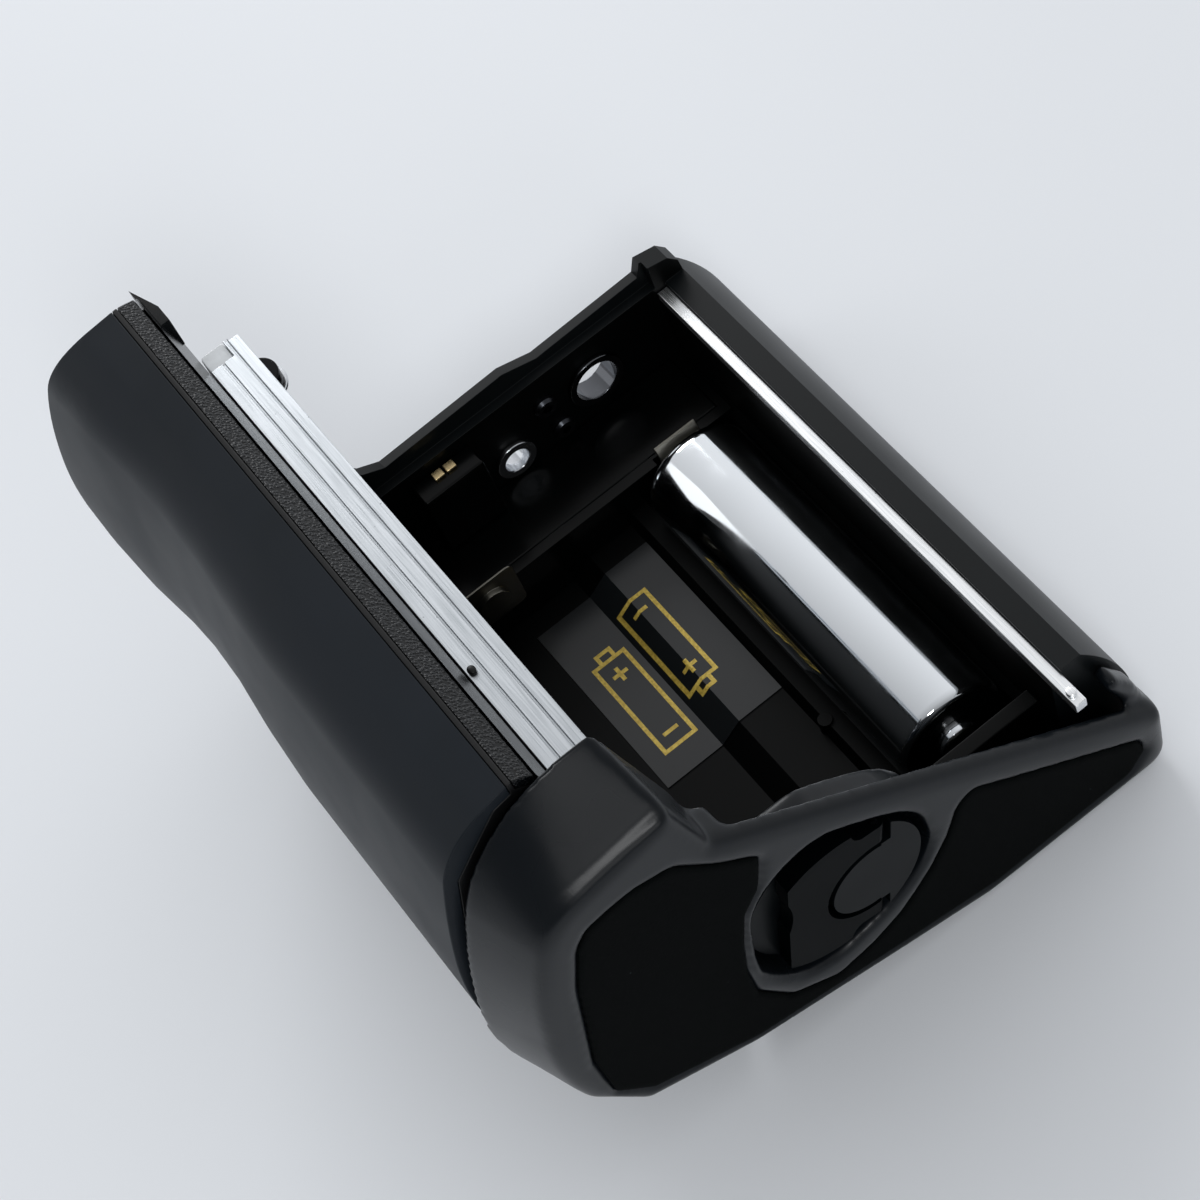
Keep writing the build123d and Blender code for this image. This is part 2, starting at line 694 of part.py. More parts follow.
# Front rail: an aluminium strip bolted on the front wall
front_rail_near_x = front_wall_near_x - running_gap
front_rail_length = front_rail_near_x - front_rail_far_x
rail_groove_shares = [0.326, 0.70]
with BuildPart() as front_rail:
    with BuildSketch(cross_plane(front_rail_far_x)):
        with Locations((front_rail_y, front_wall_height)):
            Rectangle(front_rail_width, front_rail_height, align=(Align.MIN, Align.MIN))
        # The side slot that the camera's rib runs in
        with Locations((front_rail_inner_y, front_wall_height + front_rail_height / 2)):
            Rectangle(front_rail_slot_depth * 2, front_rail_slot, mode=Mode.SUBTRACT)
        # Fine grooves along the top
        for share in rail_groove_shares:
            with Locations((front_rail_y + share * front_rail_width, front_rail_top)):
                Rectangle(front_rail_groove, front_rail_groove_depth * 2, mode=Mode.SUBTRACT)
        # The inner edge is a step lower
        with Locations((front_rail_inner_y, front_rail_top)):
            Rectangle(front_rail_width * rail_ledge_share * 2, front_rail_groove_depth * 2, mode=Mode.SUBTRACT)
    extrude(amount=front_rail_length)
    # The far end is notched for the end piece
    with Locations((front_rail_far_x, front_rail_y, front_rail_top - rail_notch_depth)):
        Box(rail_notch_length, front_rail_width * rail_notch_share, rail_notch_depth, mode=Mode.SUBTRACT,
            align=(Align.MIN, Align.MIN, Align.MIN))
write(front_rail, "front_rail")

with BuildPart() as rail_end_piece:
    with Locations((front_rail_far_x - rail_end_reach, front_rail_y, front_rail_top - rail_notch_depth + seat_gap)):
        Box(rail_end_reach + rail_notch_length - seat_gap, front_rail_width * rail_notch_share - seat_gap,
            rail_notch_depth - rail_end_drop, align=(Align.MIN, Align.MIN, Align.MIN))
    fillet(rail_end_piece.edges().filter_by(Axis.Z), rail_end_round)
write(rail_end_piece, "front_rail_end_piece")

with BuildPart() as rail_stop:
    with Locations((front_rail_near_x - rail_stop_inset, front_rail_y, front_rail_top)):
        Box(rail_stop_size, rail_stop_size, rail_stop_size / 2, align=(Align.CENTER, Align.MIN, Align.MIN))
write(rail_stop, "rail_stop_nub")

# Rear rail: a thin strip seated in the rear wall's inner edge
rear_rail_near_x = shell_near_x + skirt_reach
with BuildPart() as rear_rail:
    with Locations((far_inner_x + seat_gap, chamber_rear_y, rear_rail_top - rear_rail_height)):
        Box(rear_rail_near_x - far_inner_x, rear_rail_width, rear_rail_height,
            align=(Align.MIN, Align.MIN, Align.MIN))
write(rear_rail, "rear_rail")

with BuildPart() as rear_rail_pin:
    with BuildSketch(Plane.XY.offset(rear_rail_top)):
        with Locations((rear_rail_near_x - rear_rail_width, chamber_rear_y + rear_rail_width / 2)):
            Circle(rail_pin_radius)
    extrude(amount=rail_pin_height)
write(rear_rail_pin, "rear_rail_pin")


# Locating lug on the front rail's inner side, near its far end: half-round, on a thin steel plate
lug_x = front_rail_far_x + lug_set_in
lug_y = front_rail_inner_y + lug_reach - lug_radius
lug_top = front_rail_top - front_rail_groove_depth - lug_drop


def half_round(radius, height, top, name):
    """A flat piece with a round edge that stands out of the rail's inner side."""
    with BuildPart() as piece:
        with Locations((lug_x, lug_y, top)):
            Cylinder(radius, height, align=(Align.CENTER, Align.CENTER, Align.MAX))
        with Locations((lug_x, front_rail_inner_y, top)):
            Box(radius * 2, radius * 2, height, mode=Mode.INTERSECT, align=(Align.CENTER, Align.MIN, Align.MAX))
    write(piece, name)


half_round(lug_radius, lug_height, lug_top, "locating_lug")
half_round(lug_radius + lug_plate_rim, lug_plate_height, lug_top - lug_height, "locating_lug_plate")


# Contact carriers: moulded blocks that follow the floor at both ends of the chamber
def carrier(start_x, depth, height):
    """A block from one place along the chamber, standing on the floor with a small gap."""
    with BuildPart() as block:
        add(fitted_space.part)
        with Locations((start_x, front_bay_y, 0)):
            Box(depth, chamber_rear_y - front_bay_y - carrier_clearance, height, mode=Mode.INTERSECT,
                align=(Align.MIN, Align.MIN, Align.MIN))
    return block.part


def leaf_pocket(x, y, direction):
    """The room that a sprung leaf is pressed back into."""
    with BuildPart() as room:
        with BuildSketch(cross_plane(x)):
            with Locations((y, contact_z)):
                Rectangle(leaf_width + running_gap * 2, leaf_height + running_gap * 2)
        extrude(amount=direction * (leaf_travel + running_gap))
    return room.part


contact_z = cell_z
with BuildPart() as far_carrier:
    add(carrier(far_inner_x + seat_gap, far_carrier_x - far_inner_x - seat_gap, far_carrier_height))
    with Locations((far_inner_x + seat_gap, front_bay_y + carrier_wall, far_pocket_z)):
        Box(far_carrier_x - far_inner_x - carrier_wall, chamber_rear_y - front_bay_y - carrier_wall * 2,
            far_carrier_height, mode=Mode.SUBTRACT, align=(Align.MIN, Align.MIN, Align.MIN))
    add(leaf_pocket(far_carrier_x, cell_y, -1), mode=Mode.SUBTRACT)
write(far_carrier, "far_contact_carrier")

with BuildPart() as carrier_lid:
    with Locations((far_inner_x + seat_gap, front_bay_y + carrier_wall + seat_gap, far_carrier_height - lid_thickness)):
        Box(far_carrier_x - far_inner_x - carrier_wall - seat_gap * 2,
            chamber_rear_y - front_bay_y - carrier_wall * 2 - seat_gap * 2, lid_thickness,
            align=(Align.MIN, Align.MIN, Align.MIN))
write(carrier_lid, "far_carrier_lid")

with BuildPart() as near_carrier:
    add(carrier(near_carrier_x, near_carrier_depth, near_carrier_height))
    add(leaf_pocket(near_carrier_x, front_cell_y, 1), mode=Mode.SUBTRACT)
write(near_carrier, "near_contact_carrier")


def contact_plate(x, y, direction):
    """A flat contact with a raised button, standing on a carrier's face."""
    with BuildPart() as plate:
        with BuildSketch(cross_plane(x)):
            with Locations((y, contact_z)):
                RectangleRounded(plate_width, plate_height, plate_corner)
        extrude(amount=direction * contact_thickness)
        with BuildSketch(cross_plane(x + direction * contact_thickness)):
            with Locations((y, contact_z)):
                Circle(button_radius)
        extrude(amount=direction * button_height)
    return plate.part


with BuildPart() as rear_positive:
    add(contact_plate(near_carrier_x, cell_y, -1))
write(rear_positive, "rear_bay_positive_contact")

with BuildPart() as front_positive:
    add(contact_plate(far_carrier_x, front_cell_y, 1))
write(front_positive, "front_bay_positive_contact")


def bowed_leaf(x, y, direction):
    """A sprung contact in side view: a foot flat on the carrier, then a bow towards the cell."""
    half = leaf_height / 2
    thick = direction * contact_thickness
    reach = direction * leaf_reach
    with BuildPart() as leaf:
        with BuildSketch(Plane.XZ.offset(-y)):
            with BuildLine():
                Line((x, contact_z - half), (x, contact_z + half))
                Line((x, contact_z + half), (x + thick, contact_z + half))
                ThreePointArc((x + thick, contact_z + half), (x + reach, contact_z), (x + thick, contact_z - half))
                Line((x + thick, contact_z - half), (x, contact_z - half))
            make_face()
            with BuildLine():
                Line((x, contact_z - half + leaf_foot), (x, contact_z + half - leaf_foot))
                ThreePointArc((x, contact_z + half - leaf_foot), (x + reach - thick, contact_z),
                              (x, contact_z - half + leaf_foot))
            make_face(mode=Mode.SUBTRACT)
        extrude(amount=leaf_width / 2, both=True)
    return leaf.part


with BuildPart() as rear_negative:
    add(bowed_leaf(far_carrier_x, cell_y, 1))
write(rear_negative, "rear_bay_negative_leaf")

with BuildPart() as front_negative:
    add(bowed_leaf(near_carrier_x, front_cell_y, -1))
write(front_negative, "front_bay_negative_leaf")


# Cell
with BuildPart() as cell_can:
    with BuildSketch(cross_plane(cell_far_x + cell_end_plate)):
        with Locations((cell_y, cell_z)):
            Circle(cell_radius)
    extrude(amount=cell_length - cell_end_plate - cell_nub_length - cell_insulator)
    chamfer(cell_can.edges().filter_by(GeomType.CIRCLE), cell_shoulder)
write(cell_can, "cell_can")
cell_can_near_x = cell_near_x - cell_nub_length - cell_insulator

with BuildPart() as cell_ring:
    with BuildSketch(cross_plane(cell_can_near_x)):
        with Locations((cell_y, cell_z)):
            Circle(cell_radius - cell_shoulder - seat_gap)
            Circle(cell_nub_radius + seat_gap, mode=Mode.SUBTRACT)
    extrude(amount=cell_insulator)
write(cell_ring, "cell_insulating_ring")

with BuildPart() as cell_nub:
    with BuildSketch(cross_plane(cell_can_near_x)):
        with Locations((cell_y, cell_z)):
            Circle(cell_nub_radius)
    extrude(amount=cell_nub_length + cell_insulator)
    chamfer(cell_nub.edges().group_by(Axis.X)[-1], cell_nub_round)
write(cell_nub, "cell_positive_cap")

with BuildPart() as cell_base:
    with BuildSketch(cross_plane(cell_far_x)):
        with Locations((cell_y, cell_z)):
            Circle(cell_base_radius)
    extrude(amount=cell_end_plate)
write(cell_base, "cell_negative_plate")


# Folding key: a plane that lies along the hinge, with its second axis towards the key
hinge_direction = Vector(0, hinge_lean, 1).normalized()
hinge_side = Vector(1, 0, 0).cross(hinge_direction)
knob_centre = Vector(0, knob_y, knob_z)
hinge_foot = knob_centre - hinge_side * hinge_offset


def key_plane(x):
    """A plane across the grip at the hinge's foot, its first axis along the hinge."""
    origin = Vector(x, 0, 0) + hinge_foot
    return Plane(origin=origin, x_dir=hinge_direction, z_dir=(1, 0, 0))


key_back_x = knob_face_x - key_thickness
base_front_x = key_back_x - key_gap
base_back_x = base_front_x - knob_plate
hinge_x = knob_face_x - key_thickness / 2
knuckle_radius = key_thickness / 2
lobe_along = -lobe_slide
knuckle_inner = sqrt((groove_radius + groove / 2) ** 2 - lobe_set_in ** 2)
knuckle_outer = sqrt(knob_radius ** 2 - hinge_offset ** 2) - knuckle_end_gap
knuckle_spans = [(lobe_along + knuckle_inner, knuckle_outer), (-knuckle_outer, lobe_along - knuckle_inner)]

with BuildPart() as lock_knob:
    with BuildSketch(key_plane(base_back_x)):
        with Locations((0, hinge_offset)):
            Circle(knob_radius)
    extrude(amount=knob_plate)
    # The fixed half of the disc, with its round lobe, stands up beside the key
    with BuildSketch(key_plane(base_front_x - seat_gap)):
        with Locations((0, hinge_offset)):
            Circle(knob_radius)
        with Locations((0, -running_gap)):
            Rectangle(knob_radius * 2, knob_radius * 2, mode=Mode.INTERSECT, align=(Align.CENTER, Align.MAX))
        with Locations((lobe_along, lobe_set_in)):
            Circle(groove_radius - groove / 2)
        for low, high in knuckle_spans:
            with Locations(((low + high) / 2, 0)):
                Rectangle(high - low + knuckle_end_gap * 2, knuckle_notch * 2, mode=Mode.SUBTRACT)
    extrude(amount=knob_face_x - base_front_x + seat_gap)
write(lock_knob, "lock_knob")

with BuildPart() as lock_key:
    with BuildSketch(key_plane(key_back_x)):
        with Locations((0, hinge_offset)):
            Circle(knob_radius)
        with Locations((0, knuckle_radius)):
            Rectangle(knob_radius * 2, key_reach - knuckle_radius, mode=Mode.INTERSECT,
                      align=(Align.CENTER, Align.MIN))
        with Locations((lobe_along, lobe_set_in)):
            Circle(groove_radius + groove / 2, mode=Mode.SUBTRACT)
        # Hollow for a fingertip, and reliefs at the hinge's ends
        with Locations((key_nick_share[0] * knob_radius, hinge_offset + key_nick_share[1] * knob_radius)):
            Circle(key_nick_radius_share * knob_radius, mode=Mode.SUBTRACT)
        relief_along = key_relief_share[0] * knob_radius
        relief_offset = key_relief_share[1] * knob_radius
        with Locations((relief_along, relief_offset), (-relief_along, relief_offset)):
            Circle(key_relief_radius, mode=Mode.SUBTRACT)
    extrude(amount=key_thickness)
    with BuildSketch(key_plane(key_back_x)):
        for low, high in knuckle_spans:
            with Locations(((low + high) / 2, 0)):
                Rectangle(high - low, knuckle_radius * 2, align=(Align.CENTER, Align.MIN))
    extrude(amount=key_thickness)
    for low, high in knuckle_spans:
        with BuildSketch(Plane(origin=Vector(hinge_x, 0, 0) + hinge_foot + hinge_direction * low,
                               x_dir=(1, 0, 0), z_dir=hinge_direction)):
            Circle(knuckle_radius)
        extrude(amount=high - low)
        with BuildSketch(Plane(origin=Vector(hinge_x, 0, 0) + hinge_foot + hinge_direction * low,
                               x_dir=(1, 0, 0), z_dir=hinge_direction)):
            Circle(hinge_radius + seat_gap)
        extrude(amount=high - low, mode=Mode.SUBTRACT)
write(lock_key, "lock_key")

with BuildPart() as key_pins:
    for low, high in knuckle_spans:
        with BuildSketch(Plane(origin=Vector(hinge_x, 0, 0) + hinge_foot + hinge_direction * low,
                               x_dir=(1, 0, 0), z_dir=hinge_direction)):
            Circle(hinge_radius)
        extrude(amount=high - low)
write(key_pins, "key_hinge_pins")

with BuildPart() as lock_shaft:
    with BuildSketch(cross_plane(base_back_x)):
        with Locations((knob_y, knob_z)):
            Circle(shaft_radius)
    extrude(amount=-shaft_length)
write(lock_shaft, "lock_shaft")

washer_x = cup_back_x - running_gap
cam_x = washer_x - washer_thickness - seat_gap
with BuildPart() as lock_washer:
    with BuildSketch(cross_plane(washer_x)):
        with Locations((knob_y, knob_z)):
            Circle(washer_radius)
            Circle(shaft_radius + seat_gap, mode=Mode.SUBTRACT)
    extrude(amount=-washer_thickness)
write(lock_washer, "lock_washer")

with BuildPart() as lock_cam:
    with BuildSketch(cross_plane(cam_x)):
        with Locations((knob_y, knob_z)):
            Circle(cam_hub_radius)
        with Locations((knob_y, knob_z)):
            Rectangle(cam_width, cam_reach, align=(Align.CENTER, Align.MIN))
        with Locations((knob_y, knob_z)):
            Circle(shaft_radius + seat_gap, mode=Mode.SUBTRACT)
    extrude(amount=-cam_thickness)
write(lock_cam, "lock_cam")


# Guide bushes, screws and output terminal in the far wall


def bush(place_shares, radius, bore, name):
    """A turned bush seated in the far wall, with a flange on the chamber's side."""
    places = placed([place_shares])
    with BuildPart() as turned:
        with BuildSketch(cross_plane(far_outer_x)):
            with Locations(*places):
                Circle(radius - bush_flange)
                Circle(bore, mode=Mode.SUBTRACT)
        extrude(amount=far_wall)
        with BuildSketch(cross_plane(far_inner_x)):
            with Locations(*places):
                Circle(radius)
                Circle(bore, mode=Mode.SUBTRACT)
        extrude(amount=bush_flange_thickness)
    write(turned, name)


bush(large_bush_place, large_bush_radius, large_bush_bore, "large_guide_bush")
bush(small_bush_place, small_bush_radius, small_bush_bore, "small_guide_bush")

with BuildPart() as wall_screws:
    with BuildSketch(cross_plane(far_outer_x)):
        with Locations(*placed(wall_screw_shares)):
            Circle(wall_screw_shank)
    extrude(amount=far_wall)
    with BuildSketch(cross_plane(far_inner_x)):
        with Locations(*placed(wall_screw_shares)):
            Circle(wall_screw_radius)
    extrude(amount=wall_screw_head)
write(wall_screws, "far_wall_screws")

with BuildPart() as terminal_block:
    with Locations((far_inner_x, terminal_y, far_carrier_height + running_gap)):
        Box(terminal_depth, terminal_width, terminal_height, align=(Align.MIN, Align.CENTER, Align.MIN))
write(terminal_block, "output_terminal_block")

with BuildPart() as terminals:
    with Locations((far_inner_x + terminal_bar_depth, terminal_y, far_carrier_height + running_gap + terminal_height)):
        with GridLocations(0, terminal_pitch, 1, 2):
            Box(terminal_bar_depth, terminal_bar_width, terminal_bar_height,
                align=(Align.CENTER, Align.CENTER, Align.MIN))
write(terminals, "output_contacts")

# Polarity label: one thin film over the shelf, the ramp and the front bay's floor
with BuildPart() as label_film:
    with BuildSketch(cross_plane(label_far_x)):
        with BuildLine():
            start = (shelf_start_y - seat_gap, shelf_z)
            end = (ramp_end_y - label_front_reach, front_floor)
            Polyline(start, (shelf_end_y, shelf_z), (ramp_end_y, front_floor), end,
                     (end[0], front_floor + label_thickness), (ramp_end_y, front_floor + label_thickness),
                     (shelf_end_y, shelf_z + label_thickness), (start[0], shelf_z + label_thickness), start)
        make_face()
    extrude(amount=label_length)
write(label_film, "polarity_label")


# Cap screws, hidden under the pad


def cap_screw_group(places, grip_x, name):
    """A group of alike screws, their heads let into the cap and their ends in the piece behind it."""
    shank_x = pad_pocket_x - cap_screw_head_depth
    with BuildPart() as screws:
        with BuildSketch(cross_plane(shank_x)):
            with Locations(*places):
                Circle(cap_screw_head)
        extrude(amount=cap_screw_head_depth - seat_gap)
        with BuildSketch(cross_plane(shank_x)):
            with Locations(*places):
                Circle(cap_screw_radius)
        extrude(amount=grip_x + overrun - cap_screw_grip - shank_x)
    write(screws, name)


cap_screw_group(front_cap_screws, front_wall_near_x, "front_cap_screws")
cap_screw_group(rear_cap_screws, shell_near_x, "rear_cap_screw")
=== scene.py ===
"""Looks of a camera battery grip on a pale table: mouldings, rubber, metal, label and studio lights."""
import json
import math

import bmesh
import bpy
from mathutils import Matrix, Vector


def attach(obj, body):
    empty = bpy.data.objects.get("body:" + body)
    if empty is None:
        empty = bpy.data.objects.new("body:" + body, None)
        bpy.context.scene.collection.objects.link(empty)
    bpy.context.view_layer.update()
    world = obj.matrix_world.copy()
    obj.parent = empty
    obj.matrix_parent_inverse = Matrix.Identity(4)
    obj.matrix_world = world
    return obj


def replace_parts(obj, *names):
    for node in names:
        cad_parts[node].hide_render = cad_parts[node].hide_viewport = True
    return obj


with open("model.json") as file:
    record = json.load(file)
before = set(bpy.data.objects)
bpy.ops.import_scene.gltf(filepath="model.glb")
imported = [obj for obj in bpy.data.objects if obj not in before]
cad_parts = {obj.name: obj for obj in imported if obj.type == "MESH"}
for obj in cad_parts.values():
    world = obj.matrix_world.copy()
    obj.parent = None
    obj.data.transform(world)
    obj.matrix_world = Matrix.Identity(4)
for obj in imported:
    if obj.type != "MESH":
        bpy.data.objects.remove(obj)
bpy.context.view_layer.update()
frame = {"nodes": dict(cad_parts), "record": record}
nodes = frame["nodes"]
MM = 0.001


def linear(hex_colour):
    """An sRGB hex value as the linear colour that the shaders take."""
    channels = []
    for start in (1, 3, 5):
        value = int(hex_colour[start:start + 2], 16) / 255
        channels.append(value / 12.92 if value <= 0.04045 else ((value + 0.055) / 1.055) ** 2.4)
    return (*channels, 1.0)


def fill(shader_node, sockets):
    """Gives each socket a plain value, or a link from another node's output."""
    for name, value in sockets.items():
        if isinstance(value, bpy.types.NodeSocket):
            shader_node.id_data.links.new(value, shader_node.inputs[name])
        else:
            shader_node.inputs[name].default_value = value


def node(tree, kind, output, sockets=None, **settings):
    """Adds a shader node with its settings, values and links, and gives back the output that is wanted."""
    added = tree.nodes.new("ShaderNode" + kind)
    for name, value in settings.items():
        setattr(added, name, value)
    fill(added, sockets or {})
    return added.outputs[output]


def finish_material(name, colour, roughness, sockets):
    """A node material with its finish's plain values, its tree, its shader and the place on the piece."""
    material = bpy.data.materials.new(name)
    material.use_nodes = True
    tree = material.node_tree
    shader = tree.nodes["Principled BSDF"]
    fill(shader, {"Base Color": linear(colour), "Roughness": roughness, **sockets})
    return material, tree, shader, node(tree, "TexCoord", "Object")


def scale_of(size_mm):
    """The scale at which a pattern's features are about size_mm across."""
    return 1.0 / (size_mm * MM)


# The colour mix's sockets by number: its factor and its two colours, and the colour that it gives
MIX_FACTOR, MIX_FIRST, MIX_SECOND = 0, 6, 7
MIX_COLOUR = 2
# Nearly all of a noise lies within this range
most_of_noise = {"From Min": 0.3, "From Max": 0.7}
# Near a scattered point a pattern is full, and away from it nothing
fades_out = {"To Min": 1.0, "To Max": 0.0}


# Materials


def soft_touch_rubber():
    """Rubber with a soft-touch coat: slate-dark and smooth, with a dull sheen and a few specks of dust.

    The coat's grit is drawn 0.25 mm across, coarser than the real one, so that it shows.
    """
    material, tree, shader, place = finish_material("soft_touch_rubber", "#161b20", 0.48,
                                                    {"Specular IOR Level": 0.13})
    patches = node(tree, "TexNoise", "Fac", {"Vector": place, "Scale": scale_of(11.0), "Detail": 2.0})
    patchy = node(tree, "MapRange", "Result", {"Value": patches, **most_of_noise})
    body = node(tree, "Mix", MIX_COLOUR, {MIX_FACTOR: patchy, MIX_FIRST: linear("#151a1f"),
                                          MIX_SECOND: linear("#181d23")}, data_type="RGBA")
    specks = node(tree, "TexVoronoi", "Distance", {"Vector": place, "Scale": scale_of(8.0)})
    dust = node(tree, "MapRange", "Result",
                {"Value": specks, "From Min": 0.016, "From Max": 0.026, **fades_out})
    dusty = node(tree, "Mix", MIX_COLOUR, {MIX_FACTOR: dust, MIX_FIRST: body,
                                           MIX_SECOND: linear("#56595c")}, data_type="RGBA")
    dullness = node(tree, "MapRange", "Result",
                    {"Value": patches, **most_of_noise, "To Min": 0.43, "To Max": 0.50})
    grit = node(tree, "TexNoise", "Fac", {"Vector": place, "Scale": scale_of(0.25), "Detail": 3.0})
    relief = node(tree, "Bump", "Normal", {"Height": grit, "Distance": 0.004 * MM})
    fill(shader, {"Base Color": dusty, "Roughness": dullness, "Normal": relief})
    return material


def pebbled_plastic():
    """Black plastic moulded with a fine pebble, about 0.3 mm a grain, that breaks light into sparkles."""
    material, tree, shader, place = finish_material("pebbled_plastic", "#050709", 0.26,
                                                    {"Specular IOR Level": 0.24})
    centres = node(tree, "TexVoronoi", "Distance", {"Vector": place, "Scale": scale_of(0.34)})
    pebbles = node(tree, "MapRange", "Result",
                   {"Value": centres, "From Min": 0.0, "From Max": 0.7, **fades_out})
    relief = node(tree, "Bump", "Normal", {"Height": pebbles, "Distance": 0.12 * MM})
    fill(shader, {"Normal": relief})
    return material


def satin_moulding(name, colour, roughness, depth_mm, specular):
    """Plastic moulded in a spark-eroded tool, which gives an even satin look.

    The tool's texture is drawn 0.3 mm across, coarser than the real one, so that it shows.
    """
    material, tree, shader, place = finish_material(name, colour, roughness, {"Specular IOR Level": specular})
    patches = node(tree, "TexNoise", "Fac", {"Vector": place, "Scale": scale_of(14.0), "Detail": 1.0})
    dullness = node(tree, "MapRange", "Result",
                    {"Value": patches, **most_of_noise,
                     "To Min": roughness - 0.03, "To Max": roughness + 0.04})
    texture = node(tree, "TexNoise", "Fac", {"Vector": place, "Scale": scale_of(0.3), "Detail": 2.0})
    relief = node(tree, "Bump", "Normal", {"Height": texture, "Distance": depth_mm * MM})
    fill(shader, {"Roughness": dullness, "Normal": relief})
    return material


def pad_rubber():
    """Near-black flocked rubber: a felt-like surface that swallows light, with tiny pale specks of dust.

    The flock's fibres are drawn 0.3 mm across, coarser than the real ones, so that they show.
    """
    material, tree, shader, place = finish_material("flocked_pad_rubber", "#010303", 0.85,
                                                    {"Specular IOR Level": 0.05})
    specks = node(tree, "TexVoronoi", "Distance", {"Vector": place, "Scale": scale_of(3.4)})
    dust = node(tree, "MapRange", "Result",
                {"Value": specks, "From Min": 0.022, "From Max": 0.036, **fades_out})
    dusty = node(tree, "Mix", MIX_COLOUR, {MIX_FACTOR: dust, MIX_FIRST: linear("#010303"),
                                           MIX_SECOND: linear("#2c3133")}, data_type="RGBA")
    flock = node(tree, "TexNoise", "Fac", {"Vector": place, "Scale": scale_of(0.3), "Detail": 3.0})
    relief = node(tree, "Bump", "Normal", {"Height": flock, "Distance": 0.03 * MM})
    fill(shader, {"Base Color": dusty, "Normal": relief})
    return material


def drawn_aluminium(name, colour, pale, roughness):
    """Metal drawn through a die: fine lines run along the rail, which stays pale and soft, not mirror-like.

    The lines are drawn 0.12 mm wide, coarser than the real ones, and fifty times as long.
    """
    material, tree, shader, place = finish_material(name, colour, roughness, {"Metallic": 1.0})
    along = node(tree, "Mapping", "Vector", {"Vector": place, "Scale": (0.02, 1.0, 1.0)})
    lines = node(tree, "TexNoise", "Fac", {"Vector": along, "Scale": scale_of(0.12), "Detail": 2.0})
    streaks = node(tree, "MapRange", "Result", {"Value": lines, "From Min": 0.35, "From Max": 0.65})
    body = node(tree, "Mix", MIX_COLOUR, {MIX_FACTOR: streaks, MIX_FIRST: linear(colour),
                                          MIX_SECOND: linear(pale)}, data_type="RGBA")
    specks = node(tree, "TexVoronoi", "Distance", {"Vector": place, "Scale": scale_of(1.7)})
    pits = node(tree, "MapRange", "Result",
                {"Value": specks, "From Min": 0.03, "From Max": 0.07, **fades_out})
    pitted = node(tree, "Mix", MIX_COLOUR, {MIX_FACTOR: pits, MIX_FIRST: body,
                                            MIX_SECOND: linear("#8d9296")}, data_type="RGBA")
    dullness = node(tree, "MapRange", "Result",
                    {"Value": lines, **most_of_noise,
                     "To Min": roughness - 0.06, "To Max": roughness + 0.08})
    relief = node(tree, "Bump", "Normal", {"Height": lines, "Distance": 0.0015 * MM})
    fill(shader, {"Base Color": pitted, "Roughness": dullness, "Normal": relief})
    return material


def bright_metal(name, colour, roughness, wear_mm=1.5):
    """Plated or turned metal with a bright, nearly clean reflection and faint wear."""
    material, tree, shader, place = finish_material(name, colour, roughness, {"Metallic": 1.0})
    wear = node(tree, "TexNoise", "Fac", {"Vector": place, "Scale": scale_of(wear_mm), "Detail": 4.0})
    dullness = node(tree, "MapRange", "Result", {"Value": wear, "From Min": 0.4, "From Max": 0.75,
                                                 "To Min": roughness, "To Max": roughness + 0.12})
    fill(shader, {"Roughness": dullness})
    return material


def clear_plastic():
    """Milky clear plastic end piece: it looks like frosted ice over the rail's end."""
    material, tree, shader, place = finish_material("milky_clear_plastic", "#e9edf0", 0.16,
                                                    {"Transmission Weight": 0.25})
    waves = node(tree, "TexNoise", "Fac", {"Vector": place, "Scale": scale_of(0.8), "Detail": 1.0})
    relief = node(tree, "Bump", "Normal", {"Height": waves, "Distance": 0.01 * MM})
    fill(shader, {"Normal": relief})
    return material


def smoked_film():
    """Smoke-grey polyester label: a smooth film, a shade paler than the floor, that catches a soft sheen."""
    material, tree, shader, place = finish_material("smoked_polyester_film", "#15181a", 0.30,
                                                    {"Specular IOR Level": 0.5})
    waves = node(tree, "TexNoise", "Fac", {"Vector": place, "Scale": scale_of(9.0), "Detail": 1.0})
    relief = node(tree, "Bump", "Normal", {"Height": waves, "Distance": 0.01 * MM})
    fill(shader, {"Normal": relief})
    return material


def printed_gold():
    """Gold screen-printing ink on the label, a little uneven where the ink lies thin."""
    material, tree, shader, place = finish_material("gold_printing_ink", "#d0b24c", 0.45, {"Metallic": 0.2})
    ink_grain = node(tree, "TexNoise", "Fac", {"Vector": place, "Scale": scale_of(0.4), "Detail": 3.0})
    thickness = node(tree, "MapRange", "Result", {"Value": ink_grain, "From Min": 0.35, "From Max": 0.65})
    uneven = node(tree, "Mix", MIX_COLOUR, {MIX_FACTOR: thickness, MIX_FIRST: linear("#bfa243"),
                                            MIX_SECOND: linear("#e2c65c")}, data_type="RGBA")
    fill(shader, {"Base Color": uneven})
    return material


rubber = soft_touch_rubber()
shell = satin_moulding("satin_black_polycarbonate", "#060a0c", 0.42, 0.006, 0.20)
core = satin_moulding("plain_black_moulding", "#060708", 0.50, 0.006, 0.30)
edge_finish = satin_moulding("smooth_edge_moulding", "#07090b", 0.26, 0.002, 0.12)
cap_finish = satin_moulding("satin_cap_moulding", "#0d1115", 0.29, 0.004, 0.22)
key_finish = satin_moulding("satin_key_paint", "#020405", 0.36, 0.004, 0.03)
knob_finish = satin_moulding("satin_knob_paint", "#05080a", 0.34, 0.004, 0.08)
# Darker and duller than the shell's own black: painted shade for the chamber's inside and the parts that sit
# deep in it
chamber_shade_black = satin_moulding("chamber_black_with_painted_shade", "#010202", 0.46, 0.005, 0.10)
gloss_black = satin_moulding("polished_black_moulding", "#020303", 0.20, 0.002, 0.14)
pads = pad_rubber()
rail_finish = drawn_aluminium("drawn_aluminium", "#b6bbbf", "#c2c6ca", 0.33)
